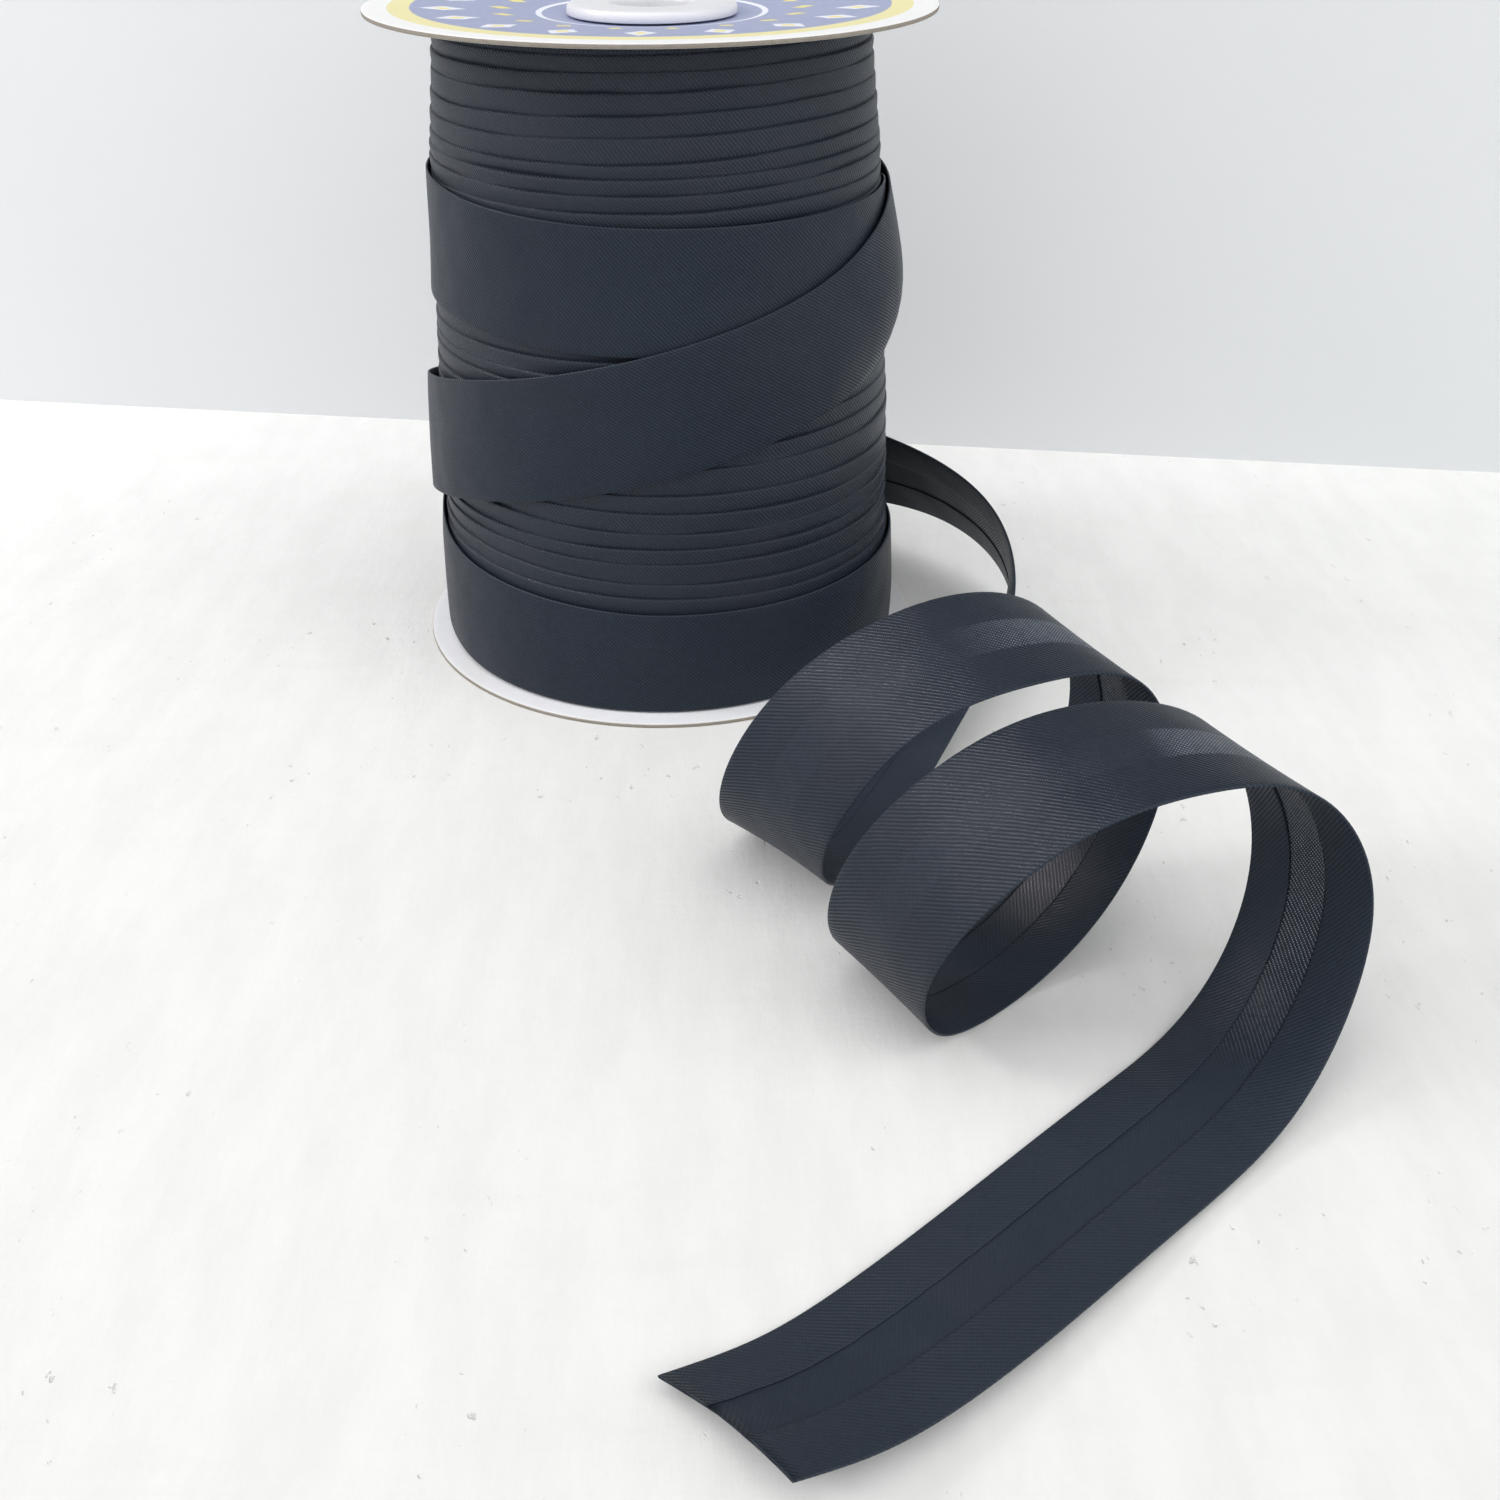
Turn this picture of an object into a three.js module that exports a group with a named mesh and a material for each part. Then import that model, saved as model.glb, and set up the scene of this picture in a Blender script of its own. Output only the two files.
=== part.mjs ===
// Roll of folded bias binding on a white flanged reel, with its loose end lying beside it.
// Millimetres, +Z up, standing on the plane z = 0. The footprint is centred on x = 0, y = 0.
import * as THREE from 'three';

// ---- driving dimensions -------------------------------------------------------------------
const REEL_X = -28.2, REEL_Y = 89.42;      // reel axis in plan
const REEL_HEIGHT = 134.2;                // rim to rim
const FLANGE_R = 56.7;                    // flange radius
const CARD = 1.0;                         // flange card thickness
const DISH = 2.4;                         // how far the flange rims splay outward from the hub
const DISH_POWER = 1.4;
const RIM_FLAT = 1.2;                     // width of the rim's flat that meets the table
const BORE_R = 8.0;                       // through hole of the hub
const TUBE_R = 12.0;                      // hub tube between the flanges
const COLLAR_R = 17.0;                    // raised collar at each end of the hub
const COLLAR_ROUND = 0.8;                 // rounding of the collar's outer edge
const GAP = 0.3;                          // gap that touching pieces keep
const TAPE_WIDTH = 25.0;                  // width of the folded binding
const TAPE_THICK = 1.2;                   // folded thickness of the loose end
const ROUND_SEGMENTS = 72;

// ---- wound form: radius of the wound laps by height -----------------------------------------
const WOUND_PROFILE = [ // height above the table, radius
  { z: 0.0, r: 51.4 }, { z: 25.0, r: 50.8 }, { z: 32.0, r: 50.1 }, { z: 46.0, r: 49.9 }, { z: 58.0, r: 49.3 },
  { z: 65.0, r: 48.7 }, { z: 72.0, r: 48.4 }, { z: 80.0, r: 47.7 }, { z: 90.0, r: 46.9 }, { z: 100.0, r: 46.5 },
  { z: 109.0, r: 46.1 }, { z: 118.0, r: 45.0 }, { z: 127.0, r: 44.0 }, { z: 135.0, r: 43.2 },
];
// The wide laps that stand proud, followed the way the tape travels, from the lowest lap up across
// the back, once round and down across the front: turn is degrees round the reel from its right
// side, seen from above clockwise; mid is the height of the lap's middle;
// rise is how far it stands proud; belly is an extra rise of its middle where it is slack.
const WIDE_LAPS = [
  { turn: -215, mid: 15.6, rise: 0.9, belly: 0.0 }, { turn: -191, mid: 17.7, rise: 1.0, belly: 0.0 },
  { turn: -160, mid: 25.0, rise: 1.0, belly: 0.0 }, { turn: -125, mid: 38.5, rise: 1.0, belly: 0.0 },
  { turn: -90, mid: 55.0, rise: 1.0, belly: 0.0 }, { turn: -55, mid: 71.5, rise: 1.0, belly: 0.0 },
  { turn: -25, mid: 83.0, rise: 1.0, belly: 0.0 }, { turn: 5, mid: 89.0, rise: 0.9, belly: 0.0 },
  { turn: 90, mid: 89.2, rise: 1.0, belly: 0.0 }, { turn: 130, mid: 90.6, rise: 1.0, belly: 0.0 },
  { turn: 169, mid: 91.6, rise: 1.0, belly: 0.0 }, { turn: 270, mid: 91.5, rise: 1.2, belly: 0.2 },
  { turn: 340, mid: 90.0, rise: 1.7, belly: 1.0 }, { turn: 360, mid: 87.6, rise: 1.9, belly: 2.2 },
  { turn: 376, mid: 83.4, rise: 2.0, belly: 2.8 }, { turn: 400, mid: 76.8, rise: 2.0, belly: 1.6 },
  { turn: 435, mid: 68.7, rise: 1.8, belly: 0.5 }, { turn: 465, mid: 62.2, rise: 1.7, belly: 0.2 },
  { turn: 498, mid: 55.4, rise: 1.8, belly: 0.0 }, { turn: 516, mid: 51.6, rise: 2.0, belly: 0.0 },
  { turn: 524, mid: 49.8, rise: 1.6, belly: 0.0 },
];
// The lowest lap, full width above the lower flange: top edge by direction round the reel.
const LOWEST_LAP = [
  { dir: -180, top: 30.5 }, { dir: -169, top: 30.0 }, { dir: -149, top: 28.0 }, { dir: -131, top: 26.6 },
  { dir: -111, top: 24.2 }, { dir: -60, top: 24.6 }, { dir: -5, top: 24.6 }, { dir: 60, top: 20.0 },
  { dir: 120, top: 22.0 }, { dir: 160, top: 28.0 }, { dir: 180, top: 30.5 },
];
const LOWEST_RISE = 0.8;

// ---- loose end: sections along the tape, measured from the reel's axis -----------------------
// s: distance along the tape; x, y, z: middle of the tape; ax, ay, az: direction across its width.
const LOOSE_END = [
//      s        x        y       z      ax      ay      az
  [   0.0,  -51.58,   -7.65,  48.63,  0.014,  0.260,  0.965],
  [  12.3,  -52.01,    4.22,  45.56,  0.069,  0.251,  0.965],
  [  30.7,  -47.67,   21.41,  40.97,  0.145,  0.216,  0.966],
  [  49.1,  -37.83,   36.20,  36.36,  0.202,  0.163,  0.966],
  [  67.7,  -24.14,   47.75,  31.60,  0.183,  0.175,  0.967],
  [  98.5,    4.54,   55.58,  25.35,  0.130,  0.238,  0.963],
  [ 117.0,   22.31,   51.33,  23.94,  0.072,  0.113,  0.991],
  [ 135.1,   38.00,   42.18,  23.73, -0.099, -0.128,  0.987],
  [ 153.4,   52.03,   30.52,  23.75, -0.283, -0.313,  0.907],
  [ 165.7,   60.80,   21.84,  23.63, -0.338, -0.344,  0.876],
  [ 196.7,   76.25,   -4.28,  19.81, -0.291, -0.278,  0.915],
  [ 214.8,   77.37,  -21.69,  15.55, -0.094, -0.276,  0.957],
  [ 232.2,   70.86,  -37.22,  11.28,  0.319, -0.423,  0.848],
  [ 261.8,   53.33,  -60.31,   5.41,  0.749, -0.569,  0.340],
  [ 298.5,   35.00,  -91.62,   0.76,  0.874, -0.486, -0.013],
  [ 310.8,   29.43, -102.42,   2.44,  0.872, -0.480, -0.092],
  [ 328.9,   23.50, -116.55,  11.63,  0.779, -0.562, -0.278],
  [ 346.9,   24.04, -125.23,  27.10,  0.571, -0.725, -0.384],
  [ 359.1,   29.08, -127.26,  37.98,  0.465, -0.810, -0.356],
  [ 377.3,   42.01, -125.74,  50.48,  0.335, -0.914, -0.228],
  [ 395.9,   59.26, -120.98,  55.04,  0.321, -0.932, -0.166],
  [ 414.3,   75.25, -114.53,  49.81,  0.397, -0.918,  0.015],
  [ 426.2,   81.08, -112.02,  39.87,  0.461, -0.882,  0.095],
  [ 457.1,   75.19, -118.53,  11.61,  0.590, -0.804,  0.074],
  [ 494.5,   49.03, -141.02,   1.19,  0.676, -0.735, -0.047],
  [ 506.6,   41.55, -148.89,   6.29,  0.642, -0.750, -0.163],
  [ 524.7,   38.93, -155.68,  22.28,  0.487, -0.838, -0.247],
  [ 549.9,   52.66, -155.24,  42.70,  0.360, -0.905, -0.228],
  [ 562.6,   63.31, -152.73,  49.00,  0.307, -0.937, -0.165],
  [ 581.3,   81.19, -148.34,  51.46,  0.260, -0.965, -0.030],
  [ 593.6,   92.67, -145.28,  48.38,  0.288, -0.953,  0.099],
  [ 624.0,  106.88, -145.87,  23.60,  0.473, -0.834,  0.283],
  [ 642.2,  101.88, -154.30,   8.62,  0.570, -0.782,  0.252],
  [ 660.2,   90.79, -166.58,   2.01,  0.646, -0.755,  0.113],
  [ 672.3,   82.08, -174.99,   1.22,  0.660, -0.750,  0.042],
  [ 690.6,   68.57, -187.23,   1.24,  0.661, -0.749,  0.050],
  [ 727.0,   41.58, -211.65,   2.14,  0.637, -0.761,  0.124],
  [ 745.2,   26.98, -222.48,   3.10,  0.615, -0.766,  0.185],
  [ 757.5,   16.50, -228.43,   5.39,  0.611, -0.758,  0.228],
];
const LOOSE_START = 6.0;                  // where the separate strip begins, lying on the wound laps
const LOOSE_STEP = 5.6;                   // spacing of its sections

// ---- helpers ----------------------------------------------------------------------------------
function lerpTable(rows, key, value, at) {
  if (at <= rows[0][key]) return rows[0][value];
  for (let i = 1; i < rows.length; i++) {
    if (at <= rows[i][key]) {
      const a = rows[i - 1], b = rows[i];
      return a[value] + (b[value] - a[value]) * (at - a[key]) / (b[key] - a[key]);
    }
  }
  return rows[rows.length - 1][value];
}
const smooth = (a, b, x) => { const t = Math.min(1, Math.max(0, (x - a) / (b - a))); return t * t * (3 - 2 * t); };

// natural cubic spline through the rows of a table: first column is the parameter
function spline(rows) {
  const n = rows.length, xs = rows.map((r) => r[0]), dims = rows[0].length - 1;
  const second = [];
  for (let d = 1; d <= dims; d++) {
    const y = rows.map((r) => r[d]), u = new Array(n).fill(0), m = new Array(n).fill(0);
    for (let i = 1; i < n - 1; i++) {
      const sig = (xs[i] - xs[i - 1]) / (xs[i + 1] - xs[i - 1]), p = sig * m[i - 1] + 2;
      m[i] = (sig - 1) / p;
      u[i] = (y[i + 1] - y[i]) / (xs[i + 1] - xs[i]) - (y[i] - y[i - 1]) / (xs[i] - xs[i - 1]);
      u[i] = (6 * u[i] / (xs[i + 1] - xs[i - 1]) - sig * u[i - 1]) / p;
    }
    for (let i = n - 2; i >= 0; i--) m[i] = m[i] * m[i + 1] + u[i];
    second.push(m);
  }
  return (x) => {
    let k = 0;
    while (k < n - 2 && xs[k + 1] < x) k++;
    const h = xs[k + 1] - xs[k], a = (xs[k + 1] - x) / h, b = (x - xs[k]) / h;
    return second.map((m, d) => a * rows[k][d + 1] + b * rows[k + 1][d + 1]
      + ((a * a * a - a) * m[k] + (b * b * b - b) * m[k + 1]) * h * h / 6);
  };
}

// closed solid from a grid of rings: wraps round in u, and in v too unless it is capped
function gridSolid(rings, capped) {
  const nv = rings.length, nu = rings[0].length, position = [], index = [];
  for (const ring of rings) for (const p of ring) position.push(p[0], p[1], p[2]);
  const id = (v, u) => (v % nv) * nu + (u % nu);
  for (let v = 0; v < (capped ? nv - 1 : nv); v++) {
    for (let u = 0; u < nu; u++) {
      index.push(id(v, u), id(v, u + 1), id(v + 1, u + 1), id(v, u), id(v + 1, u + 1), id(v + 1, u));
    }
  }
  if (capped) {
    for (let u = 1; u < nu - 1; u++) {
      index.push(id(0, 0), id(0, u + 1), id(0, u));
      index.push(id(nv - 1, 0), id(nv - 1, u), id(nv - 1, u + 1));
    }
  }
  let volume = 0;
  const at = (i) => new THREE.Vector3(position[3 * i], position[3 * i + 1], position[3 * i + 2]);
  for (let i = 0; i < index.length; i += 3) volume += at(index[i]).dot(at(index[i + 1]).cross(at(index[i + 2])));
  if (volume < 0) for (let i = 0; i < index.length; i += 3) [index[i + 1], index[i + 2]] = [index[i + 2], index[i + 1]];
  const geometry = new THREE.BufferGeometry();
  geometry.setAttribute('position', new THREE.Float32BufferAttribute(position, 3));
  geometry.setIndex(index);
  geometry.computeVertexNormals();
  return geometry;
}
// solid of revolution about the reel's axis from a closed profile of [radius, height]
function turned(profile, segments) {
  return gridSolid(profile.map(([r, z]) => Array.from({ length: segments }, (_, i) => {
    const a = 2 * Math.PI * i / segments;
    return [REEL_X + r * Math.cos(a), REEL_Y + r * Math.sin(a), z];
  })), false);
}

// ---- reel ---------------------------------------------------------------------------------------
// height of the lower flange's underside at radius r: the rim is lowest, the middle stands up by DISH
const dish = (r) => DISH * (1 - Math.pow(Math.min(1, Math.max(0, (r - COLLAR_R) / (FLANGE_R - RIM_FLAT - COLLAR_R))), DISH_POWER));
const FLANGE_RADII = [TUBE_R + GAP, COLLAR_R, 27, 36, 44, 50, FLANGE_R - RIM_FLAT, FLANGE_R];
function flangeProfile() {
  const under = FLANGE_RADII.map((r) => [r, dish(r)]);
  const over = [...FLANGE_RADII].reverse().map((r) => [r, dish(r) + CARD]);
  return [...under, ...over];
}
const mirrored = (profile) => profile.map(([r, z]) => [r, REEL_HEIGHT - z]);
const collarTop = DISH - GAP;             // the collar sits in the dish, flush with the rim's plane
const q = COLLAR_ROUND;
function hubProfile() {
  const half = [
    [BORE_R, 0.4], [BORE_R + 0.4, 0], [COLLAR_R - q, 0], [COLLAR_R - 0.3 * q, 0.3 * q], [COLLAR_R, q],
    [COLLAR_R, collarTop], [TUBE_R, collarTop],
  ];
  return [...half, ...mirrored(half).reverse()];
}

// ---- wound binding --------------------------------------------------------------------------------
const slopeAt = (turn) => (lerpTable(WIDE_LAPS, 'turn', 'mid', turn + 4) - lerpTable(WIDE_LAPS, 'turn', 'mid', turn - 4))
  / (8 * Math.PI / 180 * 49);
function woundRadius(dir, z) {            // dir in degrees, -180..180
  let extra = 0;
  for (let lap = -1; lap <= 1; lap++) {
    const turn = -dir + 360 * lap;
    if (turn < WIDE_LAPS[0].turn || turn > WIDE_LAPS[WIDE_LAPS.length - 1].turn) continue;
    const mid = lerpTable(WIDE_LAPS, 'turn', 'mid', turn), slope = slopeAt(turn);
    const half = TAPE_WIDTH / 2 * Math.sqrt(1 + slope * slope), off = Math.abs(z - mid);
    if (off > half) continue;
    const across = off / half;
    const rise = lerpTable(WIDE_LAPS, 'turn', 'rise', turn) + lerpTable(WIDE_LAPS, 'turn', 'belly', turn) * (1 - across * across);
    const ends = smooth(WIDE_LAPS[0].turn, WIDE_LAPS[0].turn + 20, turn) * (1 - smooth(519, 524, turn));
    extra = Math.max(extra, rise * (1 - smooth(0.9, 1.0, across)) * ends);
  }
  const low = lerpTable(LOWEST_LAP, 'dir', 'top', dir);
  extra = Math.max(extra, LOWEST_RISE * (1 - smooth(low - 1.0, low + 0.6, z)));
  return lerpTable(WOUND_PROFILE, 'z', 'r', z) + extra;
}
function woundSolid() {
  const floor = (r) => dish(r) + CARD + GAP, roof = (r) => REEL_HEIGHT - floor(r);
  const bore = TUBE_R + GAP, rings = [], n = ROUND_SEGMENTS;
  const ring = (radius, height) => Array.from({ length: n }, (_, i) => {
    const dir = -180 + 360 * i / n, a = dir * Math.PI / 180, r = radius(dir);
    return [REEL_X + r * Math.cos(a), REEL_Y + r * Math.sin(a), height(r)];
  });
  for (const r of [bore, COLLAR_R, 27, 36, 44]) rings.push(ring(() => r, floor));
  const low = floor(51), high = roof(44), count = 40;
  for (let k = 0; k <= count; k++) {
    const z = low + (high - low) * k / count;
    rings.push(ring((dir) => woundRadius(dir, z), (r) => (k === 0 ? floor(r) : k === count ? roof(r) : z)));
  }
  for (const r of [36, 27, COLLAR_R, bore]) rings.push(ring(() => r, roof));
  return gridSolid(rings, false);
}

// ---- loose end --------------------------------------------------------------------------------------
function looseEnd() {
  const path = spline(LOOSE_END), total = LOOSE_END[LOOSE_END.length - 1][0];
  const count = Math.round((total - LOOSE_START) / LOOSE_STEP), rings = [];
  const point = (s) => {
    const v = path(s), across = new THREE.Vector3(v[3], v[4], v[5]).normalize();
    return { mid: new THREE.Vector3(v[0] + REEL_X, v[1] + REEL_Y, v[2]), across };
  };
  const h = TAPE_THICK / 2, w = TAPE_WIDTH / 2, c = 0.35;
  for (let i = 0; i <= count; i++) {
    const s = LOOSE_START + (total - LOOSE_START) * i / count;
    const { mid, across } = point(s), ahead = point(Math.min(total, s + 1)).mid.sub(point(Math.max(0, s - 1)).mid);
    const face = new THREE.Vector3().crossVectors(ahead, across).normalize();
    const section = [[-w, -h + c], [-w, h - c], [-w + c, h], [w - c, h], [w, h - c], [w, -h + c], [w - c, -h], [-w + c, -h]];
    rings.push(section.map(([u, t]) => {
      const p = mid.clone().addScaledVector(across, u).addScaledVector(face, t);
      return [p.x, p.y, Math.max(t + h, p.z)];
    }));
  }
  return gridSolid(rings, true);
}

// ---- assembly ---------------------------------------------------------------------------------------
const group = new THREE.Group();
group.name = 'bias_binding_reel';
function add(name, geometry, color, roughness) {
  const mesh = new THREE.Mesh(geometry, new THREE.MeshStandardMaterial({ color, roughness, metalness: 0 }));
  mesh.name = name;
  group.add(mesh);
}
add('reel_flange_bottom', turned(flangeProfile(), ROUND_SEGMENTS), 0xf1f1f0, 0.75);
add('reel_flange_top', turned(mirrored(flangeProfile()), ROUND_SEGMENTS), 0xf1f1f0, 0.75);
add('reel_hub', turned(hubProfile(), ROUND_SEGMENTS), 0xf4f4f6, 0.35);
add('binding_roll', woundSolid(), 0x2b3138, 0.7);
add('binding_loose_end', looseEnd(), 0x2b3138, 0.6);

export default group;
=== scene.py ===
# Roll of folded bias binding on a white flanged reel, with its loose end lying beside it.
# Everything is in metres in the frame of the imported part; tables are in millimetres.
import bpy
import math
import numpy as np
from mathutils import Matrix, Vector


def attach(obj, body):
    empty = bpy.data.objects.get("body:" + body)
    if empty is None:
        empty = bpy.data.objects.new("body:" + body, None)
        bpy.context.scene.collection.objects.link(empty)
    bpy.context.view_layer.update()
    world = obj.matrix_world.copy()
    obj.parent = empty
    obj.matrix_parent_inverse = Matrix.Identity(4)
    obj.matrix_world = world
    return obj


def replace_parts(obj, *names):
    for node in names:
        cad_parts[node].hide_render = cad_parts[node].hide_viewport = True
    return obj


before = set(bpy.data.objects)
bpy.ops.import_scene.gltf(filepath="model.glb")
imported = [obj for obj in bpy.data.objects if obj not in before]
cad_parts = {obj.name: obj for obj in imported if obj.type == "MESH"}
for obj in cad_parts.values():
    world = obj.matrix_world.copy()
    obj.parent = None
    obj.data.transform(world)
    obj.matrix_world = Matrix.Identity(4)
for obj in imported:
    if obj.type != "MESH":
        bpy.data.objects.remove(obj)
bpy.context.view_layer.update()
MM = 0.001

# ---- driving dimensions, millimetres -----------------------------------------------------------
REEL_X, REEL_Y = -28.2, 89.42
REEL_HEIGHT, FLANGE_R, CARD = 134.2, 56.7, 0.85
DISH_LOW, DISH_HIGH, RIM_FLAT = 2.4, 2.5, 1.2
BORE_R, TUBE_R, COLLAR_R = 8.0, 12.0, 17.0
GAP = 0.3
TAPE_HALF = 12.5                 # half of the folded width
CLOTH = 0.20                     # thickness of the single cloth
FOLD_R = 0.14                    # radius of a fold, to the middle of the cloth
OUTER = 0.30                     # how far the outer face lies from the strip's reference surface
FLAP_LOW, FLAP_HIGH = 8.3, 9.3   # widths of the two turned-in flaps


# ---- camera --------------------------------------------------------------------------------------
def make_camera():
    pitch, roll = 0.550852, -0.0028666
    right = Vector((1, 0, 0))
    up = Vector((0, math.sin(pitch), math.cos(pitch)))
    ahead = Vector((0, math.cos(pitch), -math.sin(pitch)))
    x = right * math.cos(roll) + up * math.sin(roll)
    y = up * math.cos(roll) - right * math.sin(roll)
    data = bpy.data.cameras.new("camera")
    data.lens, data.sensor_width = 36.0 * 1620.355 / 1500.0, 36.0
    data.clip_start, data.clip_end = 0.01, 20.0
    cam = bpy.data.objects.new("camera", data)
    m = Matrix((x, y, -ahead)).transposed().to_4x4()
    m.translation = Vector((REEL_X + 19.0254, REEL_Y - 351.62, 175.708)) * MM
    cam.matrix_world = m
    bpy.context.scene.collection.objects.link(cam)
    bpy.context.scene.camera = cam


make_camera()


# ---- small numeric helpers -----------------------------------------------------------------------
def natural_spline(rows):
    """Natural cubic spline through a table whose first column is the parameter."""
    t = np.array(rows, float)
    x, y = t[:, 0], t[:, 1:]
    n = len(x)
    h = np.diff(x)
    a = np.zeros((n, n))
    b = np.zeros_like(y)
    a[0, 0] = a[-1, -1] = 1.0
    for i in range(1, n - 1):
        a[i, i - 1], a[i, i], a[i, i + 1] = h[i - 1], 2 * (h[i - 1] + h[i]), h[i]
        b[i] = 6 * ((y[i + 1] - y[i]) / h[i] - (y[i] - y[i - 1]) / h[i - 1])
    m = np.linalg.solve(a, b)

    def at(q):
        q = np.atleast_1d(np.asarray(q, float))
        k = np.clip(np.searchsorted(x, q) - 1, 0, n - 2)
        hh = h[k][:, None]
        p, r = (x[k + 1] - q)[:, None] / hh, (q - x[k])[:, None] / hh
        return p * y[k] + r * y[k + 1] + ((p ** 3 - p) * m[k] + (r ** 3 - r) * m[k + 1]) * hh * hh / 6

    return at


def hermite(xs, ys, q):
    """Smooth curve through points of uneven spacing, with no overshoot at peaks."""
    xs, ys, q = np.array(xs, float), np.array(ys, float), np.asarray(q, float)
    d = np.diff(ys) / np.diff(xs)
    m = np.zeros_like(ys)
    m[0], m[-1] = d[0], d[-1]
    for i in range(1, len(xs) - 1):
        if d[i - 1] * d[i] > 0:
            w1, w2 = 2 * (xs[i + 1] - xs[i]) + (xs[i] - xs[i - 1]), (xs[i + 1] - xs[i]) + 2 * (xs[i] - xs[i - 1])
            m[i] = (w1 + w2) / (w1 / d[i - 1] + w2 / d[i])
    k = np.clip(np.searchsorted(xs, q) - 1, 0, len(xs) - 2)
    h = xs[k + 1] - xs[k]
    t = np.clip((q - xs[k]) / h, 0, 1)
    return ((2 * t ** 3 - 3 * t ** 2 + 1) * ys[k] + (t ** 3 - 2 * t ** 2 + t) * h * m[k]
            + (3 * t ** 2 - 2 * t ** 3) * ys[k + 1] + (t ** 3 - t ** 2) * h * m[k + 1])


def wander(angle, seed, waves=(2, 3, 5, 8, 13)):
    """Smooth uneven value about zero, periodic in angle (radians), the same every run."""
    rng = np.random.default_rng(seed)
    out = np.zeros_like(angle)
    for w in waves:
        out = out + rng.normal() / math.sqrt(w) * np.sin(w * angle + rng.uniform(0, 6.283))
    return out * 0.8


def mesh_object(name, points, faces, uv=None, uv2=None, smooth=True):
    """Object from points in millimetres; uv and uv2 are one pair for each face corner."""
    me = bpy.data.meshes.new(name)
    faces = np.asarray(faces)
    nf, nc = faces.shape
    me.vertices.add(len(points))
    me.vertices.foreach_set("co", (np.asarray(points, float) * MM).ravel())
    me.loops.add(nf * nc)
    me.loops.foreach_set("vertex_index", faces.ravel().astype(np.int32))
    me.polygons.add(nf)
    me.polygons.foreach_set("loop_start", (np.arange(nf) * nc).astype(np.int32))
    me.update(calc_edges=True)
    for label, data in (("weave", uv), ("place", uv2)):
        if data is not None:
            layer = me.uv_layers.new(name=label)
            layer.data.foreach_set("uv", np.asarray(data, float).reshape(-1).astype(np.float32))
    me.validate()
    me.polygons.foreach_set("use_smooth", [smooth] * len(me.polygons))
    me.update()
    ob = bpy.data.objects.new(name, me)
    bpy.context.scene.collection.objects.link(ob)
    return ob


def grid_faces(nv, nu, wrap_v, wrap_u):
    """Quads of a grid of nv rows and nu columns, and the row and column number of every corner."""
    v = np.arange(nv if wrap_v else nv - 1)
    u = np.arange(nu if wrap_u else nu - 1)
    vv, uu = np.meshgrid(v, u, indexing="ij")
    cv = np.stack([vv, vv, vv + 1, vv + 1], -1).reshape(-1, 4)
    cu = np.stack([uu, uu + 1, uu + 1, uu], -1).reshape(-1, 4)
    return (cv % nv) * nu + (cu % nu), cv, cu


def outward(points, faces):
    """True if the faces of a closed mesh point out."""
    p = np.asarray(points, float)
    a, b, c, d = (p[faces[:, i]] for i in range(4))
    vol = np.einsum("ij,ij->", a, np.cross(b, c)) + np.einsum("ij,ij->", a, np.cross(c, d))
    return vol > 0


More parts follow.
